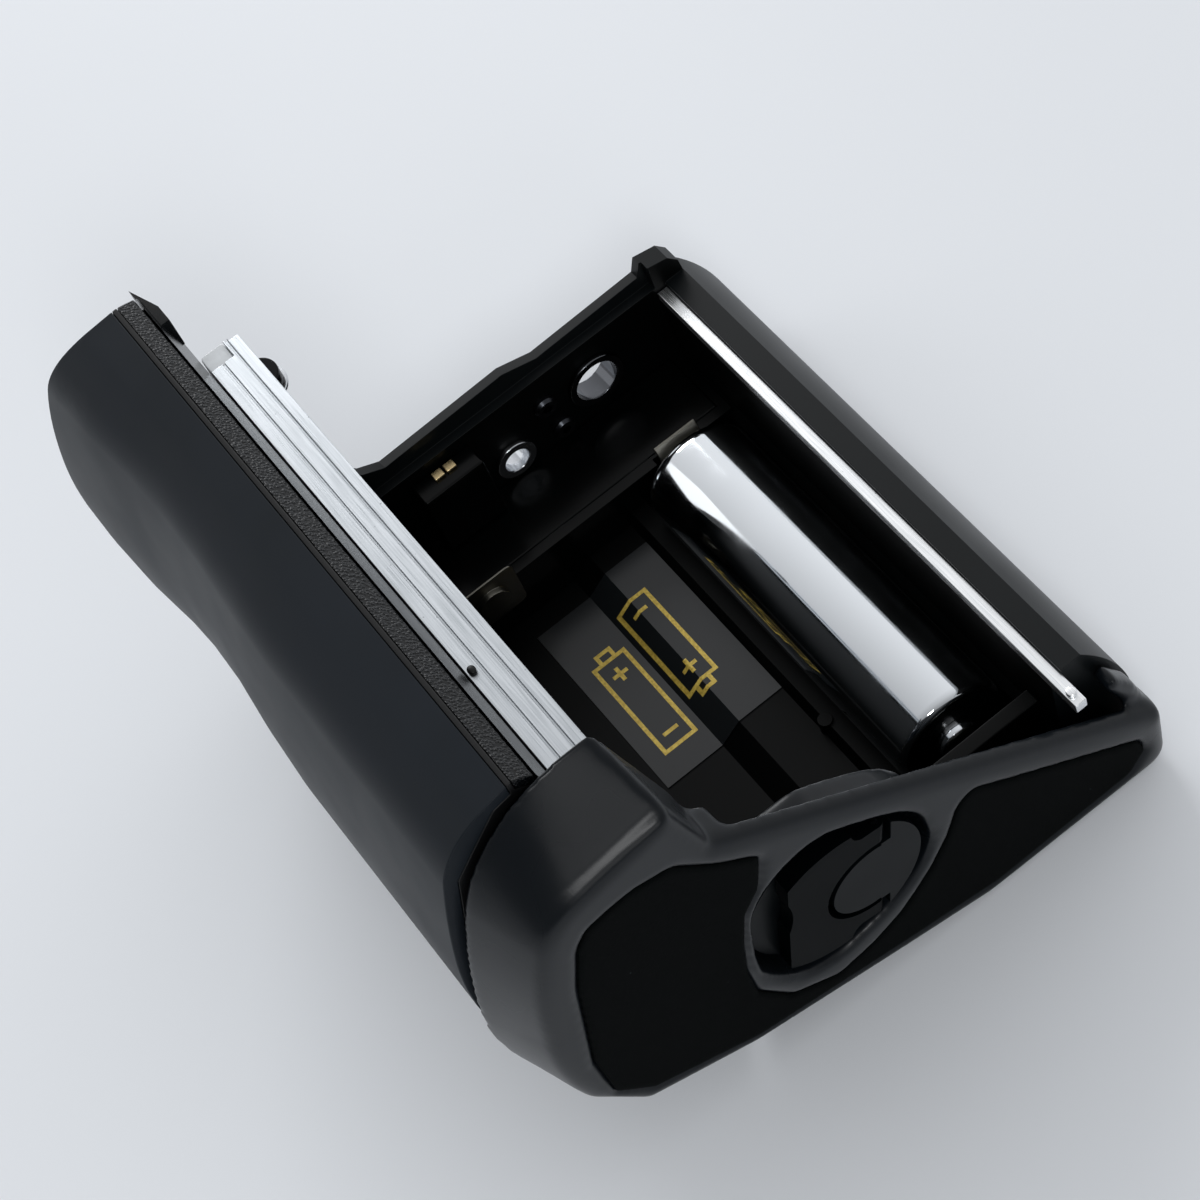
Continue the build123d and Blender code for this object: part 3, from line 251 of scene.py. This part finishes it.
strip_finish = drawn_aluminium("thin_steel_strip", "#eceff1", "#fafbfc", 0.30)
chrome = bright_metal("polished_chrome_can", "#e6eaee", 0.05, 6.0)
turned = bright_metal("turned_steel", "#c9ccd0", 0.14)
smoky = bright_metal("smoke_plated_bush", "#5d5f63", 0.10)
# Nickel drawn much darker than bright plating: painted shade for the contacts deep in the chamber
nickel_with_painted_shade = bright_metal("nickel_strip_painted_shade", "#6f6d66", 0.30)
gold = bright_metal("gold_plated_contact", "#dcc596", 0.24)
blackened = bright_metal("blackened_screw_steel", "#3a3c40", 0.30)
pebble = pebbled_plastic()
clear = clear_plastic()
film = smoked_film()
ink = printed_gold()

finishes = {
    rubber: ["grip_rubber"],
    shell: ["main_shell"],
    core: ["grip_core", "rail_stop_nub"],
    edge_finish: ["smooth_edge_strip"],
    cap_finish: ["end_cap"],
    key_finish: ["lock_key"],
    knob_finish: ["lock_knob"],
    chamber_shade_black: ["near_contact_carrier", "cell_insulating_ring"],
    gloss_black: ["far_contact_carrier", "far_carrier_lid", "output_terminal_block", "locating_lug"],
    pads: ["cap_pad"],
    rail_finish: ["front_rail"],
    strip_finish: ["rear_rail", "rear_rail_pin"],
    chrome: ["cell_can", "cell_positive_cap", "cell_negative_plate"],
    smoky: ["large_guide_bush"],
    turned: ["small_guide_bush", "locating_lug_plate", "key_hinge_pins", "lock_shaft",
             "lock_washer", "lock_cam"],
    nickel_with_painted_shade: ["rear_bay_positive_contact", "front_bay_positive_contact", "rear_bay_negative_leaf",
             "front_bay_negative_leaf"],
    gold: ["output_contacts"],
    blackened: ["far_wall_screws", "front_cap_screws", "rear_cap_screw"],
    pebble: ["pebbled_strip"],
    clear: ["front_rail_end_piece"],
    film: ["polarity_label"],
}
finish_of = {}
for finish, names in finishes.items():
    for name in names:
        finish_of[name] = finish
        nodes[name].data.materials.clear()
        nodes[name].data.materials.append(finish)

body_of = {name: body for body, names in frame["record"]["behaviour"]["bodies"].items() for name in names}


def add_piece(name, mesh, finish, body):
    """A finished piece as an object that rides on a body."""
    for face in mesh.polygons:
        face.use_smooth = True
    piece = bpy.data.objects.new(name, mesh)
    bpy.context.scene.collection.objects.link(piece)
    mesh.materials.append(finish)
    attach(piece, body)
    return piece


# Softened edges: a moulding's edges are never sharp, and the fine rounding is what catches the light
edge_widths = {
    "grip_rubber": 0.45, "main_shell": 0.30, "smooth_edge_strip": 0.18, "pebbled_strip": 0.20,
    "grip_core": 0.15, "front_rail": 0.14, "rear_rail": 0.15, "rear_rail_pin": 0.15,
    "lock_knob": 0.20, "lock_key": 0.22, "large_guide_bush": 0.15, "small_guide_bush": 0.15,
    "far_contact_carrier": 0.25, "far_carrier_lid": 0.20, "near_contact_carrier": 0.25,
    "output_terminal_block": 0.35, "output_contacts": 0.12, "locating_lug": 0.20, "locating_lug_plate": 0.10,
    "rear_bay_positive_contact": 0.10, "front_bay_positive_contact": 0.10,
    "rear_bay_negative_leaf": 0.08, "front_bay_negative_leaf": 0.08, "front_rail_end_piece": 0.15,
}
sharp_from = math.radians(28)
flat_within = math.radians(0.4)
edge_segments = 3
face_size_weight = 80
same_point = 0.0005 * MM


def joined_copy(name, copy_name, flat_faces_joined):
    """A copy of a piece's mesh whose facets share their corners; its flat neighbours can be one face."""
    mesh = bpy.data.meshes.new(copy_name)
    build = bmesh.new()
    build.from_mesh(nodes[name].data)
    bmesh.ops.remove_doubles(build, verts=build.verts, dist=same_point)
    if flat_faces_joined:
        bmesh.ops.dissolve_limit(build, angle_limit=flat_within, verts=build.verts, edges=build.edges)
    build.to_mesh(mesh)
    build.free()
    return mesh


def softened(name, width_mm):
    """A copy of a piece whose sharp edges are rounded off, and whose curved faces look smooth."""
    mesh = joined_copy(name, name + "_soft", True)
    piece = add_piece(mesh.name, mesh, finish_of[name], body_of[name])
    rounding = piece.modifiers.new("rounded edges", "BEVEL")
    rounding.width = width_mm * MM
    rounding.segments = edge_segments
    rounding.limit_method = "ANGLE"
    rounding.angle_limit = sharp_from
    rounding.miter_outer = "MITER_ARC"
    shading = piece.modifiers.new("even shading", "WEIGHTED_NORMAL")
    shading.weight = face_size_weight
    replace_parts(piece, name)
    return piece


soft = {name: softened(name, width) for name, width in edge_widths.items()}


def remoulded(name, grid_mm, passes):
    """A copy of a piece in fine even facets, with its edges and outlines flowing in round curves."""
    mesh = joined_copy(name, name + "_moulded", False)
    piece = add_piece(mesh.name, mesh, finish_of[name], body_of[name])
    facets = piece.modifiers.new("fine facets", "REMESH")
    facets.mode = "VOXEL"
    facets.voxel_size = grid_mm * MM
    facets.use_smooth_shade = True
    flow = piece.modifiers.new("round curves", "SMOOTH")
    flow.factor = 0.5
    flow.iterations = passes
    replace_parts(piece, name)


# The cap's lobe and rim are well rounded, and the pad follows the same curves
remoulded("end_cap", 0.36, 22)
remoulded("cap_pad", 0.30, 14)

# The chamber's inside faces take a darker, duller black than the satin outside of the same moulding: painted
# shade for the deep chamber
inner_rear = 30.02 * MM
inner_far = -33.02 * MM
inner_front = -17.32 * MM
step_top = 24.25 * MM
floor_low = 1.5 * MM
shell_mesh = soft["main_shell"].data
shell_mesh.materials.append(chamber_shade_black)
for face in shell_mesh.polygons:
    middle = face.center
    within = inner_front <= middle.y <= inner_rear and middle.x >= inner_far
    # Faces inside the chamber get the painted-shade black
    if within and floor_low < middle.z < step_top:
        face.material_index = 1


# The cell: turned shapes about its own axis
cell_axis = Vector((0.0, 21.5, 9.8)) * MM


def turned_piece(name, profile, steps, finish, replaced):
    """A piece of the cell turned about its axis: the profile gives (place along X, radius) in millimetres."""
    mesh = bpy.data.meshes.new(name)
    build = bmesh.new()
    corners = [build.verts.new((x * MM, cell_axis.y + radius * MM, cell_axis.z)) for x, radius in profile]
    edges = [build.edges.new(pair) for pair in zip(corners, corners[1:])]
    bmesh.ops.spin(build, geom=corners + edges, cent=cell_axis, axis=(1, 0, 0), dvec=(0, 0, 0),
                   angle=2 * math.pi, steps=steps, use_merge=True, use_duplicate=False)
    bmesh.ops.remove_doubles(build, verts=build.verts, dist=0.001 * MM)
    bmesh.ops.recalc_face_normals(build, faces=build.faces)
    build.to_mesh(mesh)
    build.free()
    mesh.set_sharp_from_angle(angle=math.radians(40))
    piece = add_piece(name, mesh, finish, "cell")
    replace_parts(piece, replaced)


turned_piece("rolled_cell_can",
             [(-19.0, 0), (-19.0, 5.7), (-18.9, 6.3), (-18.6, 6.8), (-18.1, 7.12), (-17.4, 7.25),
              (28.1, 7.25), (28.7, 7.16), (29.1, 6.95), (29.34, 6.62), (29.4, 6.35), (29.32, 6.15),
              (29.15, 6.05), (29.0, 6.02), (29.0, 0)], 128, chrome, "cell_can")
turned_piece("dished_insulating_ring",
             [(29.02, 2.8), (29.42, 2.8), (29.45, 3.4), (29.40, 5.4), (29.30, 5.95), (29.02, 5.98)], 96,
             gloss_black, "cell_insulating_ring")
turned_piece("drawn_positive_cap",
             [(29.02, 0), (29.02, 2.7), (30.55, 2.7), (30.78, 2.62), (30.93, 2.42), (31.0, 2.15),
              (31.0, 0)], 64, chrome, "cell_positive_cap")
turned_piece("drawn_negative_plate",
             [(-19.0, 0), (-19.0, 5.6), (-19.3, 5.5), (-19.45, 5.25), (-19.5, 4.9), (-19.42, 4.5),
              (-19.42, 0)], 64, chrome, "cell_negative_plate")


# The nub on the rail: a small round bead
nub_mesh = bpy.data.meshes.new("round_stop_nub")
nub_build = bmesh.new()
nub_place = Matrix.Translation(Vector((17.0, -18.9, 62.28)) * MM) @ Matrix.Diagonal((0.55, 0.45, 0.30, 1))
bmesh.ops.create_uvsphere(nub_build, u_segments=20, v_segments=12, radius=1.0 * MM, matrix=nub_place)
nub_build.to_mesh(nub_mesh)
nub_build.free()
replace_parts(add_piece("round_stop_nub", nub_mesh, core, "grip"), "rail_stop_nub")

# The smooth strip's far tip ends in a blunt corner
blunt_tip = -41.6 * MM
for vert in soft["smooth_edge_strip"].data.vertices:
    vert.co.x = max(vert.co.x, blunt_tip)


# Screws in the far wall: domed heads with a six-sided socket
screw_places = [(11.6, 19.08), (12.72, 13.392)]
screw_base_x = -35.6
screw_head_x = -33.0
head_height = 0.9
socket_depth = 0.55


def socket_screws():
    """Both screws as one piece, as the solid has them."""
    mesh = bpy.data.meshes.new("socket_head_screws")
    build = bmesh.new()
    for y, z in screw_places:
        turn_x = Matrix.Rotation(math.radians(90), 4, "Y")
        foot = Matrix.Translation(Vector((screw_head_x, y, z)) * MM) @ turn_x
        top = Matrix.Translation(Vector((screw_head_x + head_height, y, z)) * MM) @ turn_x
        waist = Matrix.Translation(Vector((screw_head_x + head_height * 0.55, y, z)) * MM) @ turn_x
        floor = Matrix.Translation(Vector((screw_head_x + head_height - socket_depth, y, z)) * MM) @ turn_x
        rings = [bmesh.ops.create_circle(build, segments=sides, radius=radius * MM, matrix=place)["verts"]
                 for sides, radius, place in ((24, 1.5, foot), (24, 1.5, waist), (24, 1.2, top),
                                              (6, 0.62, top), (6, 0.60, floor))]
        loops = [list({edge for vert in ring for edge in vert.link_edges}) for ring in rings]
        for lower, upper in zip(loops, loops[1:]):
            bmesh.ops.bridge_loops(build, edges=lower + upper)
        bmesh.ops.holes_fill(build, edges=loops[0] + loops[-1], sides=0)
        length = (screw_head_x - screw_base_x) * MM
        shank = Matrix.Translation(Vector(((screw_base_x + screw_head_x) / 2, y, z)) * MM) @ turn_x
        bmesh.ops.create_cone(build, cap_ends=True, segments=20, radius1=0.8 * MM, radius2=0.8 * MM,
                              depth=length, matrix=shank)
    bmesh.ops.recalc_face_normals(build, faces=build.faces)
    build.to_mesh(mesh)
    build.free()
    mesh.set_sharp_from_angle(angle=math.radians(35))
    piece = add_piece("socket_head_screws", mesh, blackened, "grip")
    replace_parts(piece, "far_wall_screws")


socket_screws()


# Printed battery symbols on the label: each is an outline with its plus and its minus sign
film_folds = [(-5.4, 1.75), (2.7, 1.75), (5.7, 3.95), (12.1, 3.95)]
print_lift = 0.02
line_width = 0.52


def film_height(y):
    """Height of the label's top over the floor, the ramp and the shelf, in millimetres."""
    for (low_y, low_z), (high_y, high_z) in zip(film_folds, film_folds[1:]):
        if y <= high_y:
            return low_z + (high_z - low_z) * (y - low_y) / (high_y - low_y)
    return film_folds[-1][1]


def printed_bar(build, x_low, x_high, y_low, y_high):
    """One straight printed line as a flat strip, still level."""
    middle = Vector(((x_low + x_high) / 2, (y_low + y_high) / 2, 0)) * MM
    place = Matrix.Translation(middle) @ Matrix.Diagonal(((x_high - x_low) * MM, (y_high - y_low) * MM, 1, 1))
    bmesh.ops.create_grid(build, x_segments=1, y_segments=1, size=0.5, matrix=place)


def printed_frame(build, x_low, x_high, y_low, y_high, open_side=0):
    """A rectangle of four printed lines, one of which is left out on the open side: -1 far, 1 near."""
    half = line_width / 2
    printed_bar(build, x_low - half, x_high + half, y_low - half, y_low + half)
    printed_bar(build, x_low - half, x_high + half, y_high - half, y_high + half)
    if open_side != -1:
        printed_bar(build, x_low - half, x_low + half, y_low + half, y_high - half)
    if open_side != 1:
        printed_bar(build, x_high - half, x_high + half, y_low + half, y_high - half)


def battery_symbol(build, far_x, near_x, low_y, high_y, plus_end):
    """An upright-cell symbol: a long box, a small nub at its plus end, and both signs inside."""
    half = line_width / 2
    centre = (low_y + high_y) / 2
    nub = 0.95
    nub_length = 1.35
    if plus_end < 0:
        box_far, box_near = far_x + nub_length, near_x
        printed_frame(build, far_x, box_far - half * 2, centre - nub, centre + nub, open_side=1)
        plus_x, minus_x = box_far + 2.4, box_near - 2.0
    else:
        box_far, box_near = far_x, near_x - nub_length
        printed_frame(build, box_near + half * 2, near_x, centre - nub, centre + nub, open_side=-1)
        plus_x, minus_x = box_near - 2.4, box_far + 2.0
    printed_frame(build, box_far, box_near, low_y, high_y)
    arm = 1.05
    printed_bar(build, plus_x - arm, plus_x + arm, centre - half, centre + half)
    printed_bar(build, plus_x - half, plus_x + half, centre - arm, centre - half)
    printed_bar(build, plus_x - half, plus_x + half, centre + half, centre + arm)
    printed_bar(build, minus_x - half, minus_x + half, centre - arm, centre + arm)


symbol_mesh = bpy.data.meshes.new("printed_battery_symbols")
symbol_build = bmesh.new()
battery_symbol(symbol_build, -11.2, 4.7, -2.9, 1.5, -1)
battery_symbol(symbol_build, -13.3, 2.4, 3.6, 7.9, 1)
for fold_y, _ in film_folds[1:3]:
    everything = symbol_build.verts[:] + symbol_build.edges[:] + symbol_build.faces[:]
    bmesh.ops.bisect_plane(symbol_build, geom=everything, plane_co=(0, fold_y * MM, 0), plane_no=(0, 1, 0))
for vert in symbol_build.verts:
    vert.co.z = (film_height(vert.co.y / MM) + print_lift) * MM
symbol_build.to_mesh(symbol_mesh)
symbol_build.free()
add_piece("printed_battery_symbols", symbol_mesh, ink, "grip")


# Table, lights and camera


def pale_table():
    """Smooth pale table paint, a little cool, with hardly any sheen."""
    material, tree, shader, place = finish_material("pale_table_paint", "#e2e5e9", 0.9,
                                                    {"Specular IOR Level": 0.1})
    patches = node(tree, "TexNoise", "Fac", {"Vector": place, "Scale": scale_of(160.0), "Detail": 1.0})
    patchy = node(tree, "MapRange", "Result", {"Value": patches, **most_of_noise})
    mottled = node(tree, "Mix", MIX_COLOUR, {MIX_FACTOR: patchy, MIX_FIRST: linear("#e0e3e7"),
                                             MIX_SECOND: linear("#e4e7eb")}, data_type="RGBA")
    fill(shader, {"Base Color": mottled})
    return material


table_mesh = bpy.data.meshes.new("table")
build = bmesh.new()
bmesh.ops.create_grid(build, x_segments=1, y_segments=1, size=1.5)
build.to_mesh(table_mesh)
build.free()
table = bpy.data.objects.new("table", table_mesh)
bpy.context.scene.collection.objects.link(table)
table_mesh.materials.append(pale_table())

world = bpy.data.worlds.new("studio")
bpy.context.scene.world = world
world.use_nodes = True
# The room is brighter beyond the far end and the rear wall than beyond the cap and the hand grip
brightest_side = (-0.8, 0.6, 0.0)
dimmest, brightest = 0.16, 1.12
room = world.node_tree
outlook = node(room, "TexCoord", "Generated")
nearness = node(room, "VectorMath", "Value", {0: outlook, 1: brightest_side}, operation="DOT_PRODUCT")
sky_strength = node(room, "MapRange", "Result", {"Value": nearness, "From Min": -1.0, "From Max": 1.0,
                                                 "To Min": dimmest, "To Max": brightest})
fill(room.nodes["Background"], {"Color": linear("#f3f4f6"), "Strength": sky_strength})


def softbox(name, place, aim, size, watts):
    """A square soft lamp at a place, aimed at a point."""
    lamp = bpy.data.lights.new(name, "AREA")
    lamp.shape = "SQUARE"
    lamp.size = size
    lamp.energy = watts
    lamp.color = linear("#f7f8f9")[:3]
    holder = bpy.data.objects.new(name, lamp)
    holder.location = place
    holder.rotation_euler = (Vector(aim) - Vector(place)).to_track_quat("-Z", "Y").to_euler()
    bpy.context.scene.collection.objects.link(holder)


softbox("window", (-0.78, 0.10, 0.45), (0, 0, 0.03), 0.45, 4.0)
softbox("grip_side_panel", (-0.50, -0.64, 0.42), (0, 0, 0.04), 0.50, 0.5)
softbox("lobe_side_panel", (0.56, -0.06, 0.26), (0, 0, 0.05), 0.22, 0.30)
softbox("ridge_light", (0.40, -0.12, 0.50), (0, 0, 0.05), 0.14, 0.9)

# The camera of the photo, fitted to the cell, the rails and the walls
eye = Vector((155.5, -37.1, 284.8)) * MM
right = Vector((0.5737, 0.7837, -0.2381))
down = Vector((0.6350, -0.6092, -0.4749))
ahead = Vector((-0.5173, 0.1213, -0.8472))
sensor = 36.0
photo_focal = 2761.0
photo_width = 1200.0
camera_data = bpy.data.cameras.new("photo_camera")
camera_data.sensor_width = sensor
camera_data.lens = sensor * photo_focal / photo_width
camera_data.clip_start = 0.01
camera = bpy.data.objects.new("photo_camera", camera_data)
turn = Matrix((right, -down, -ahead)).transposed()
camera.matrix_world = Matrix.Translation(eye) @ turn.to_4x4()
bpy.context.scene.collection.objects.link(camera)
bpy.context.scene.camera = camera
bpy.context.scene.view_settings.view_transform = "Standard"
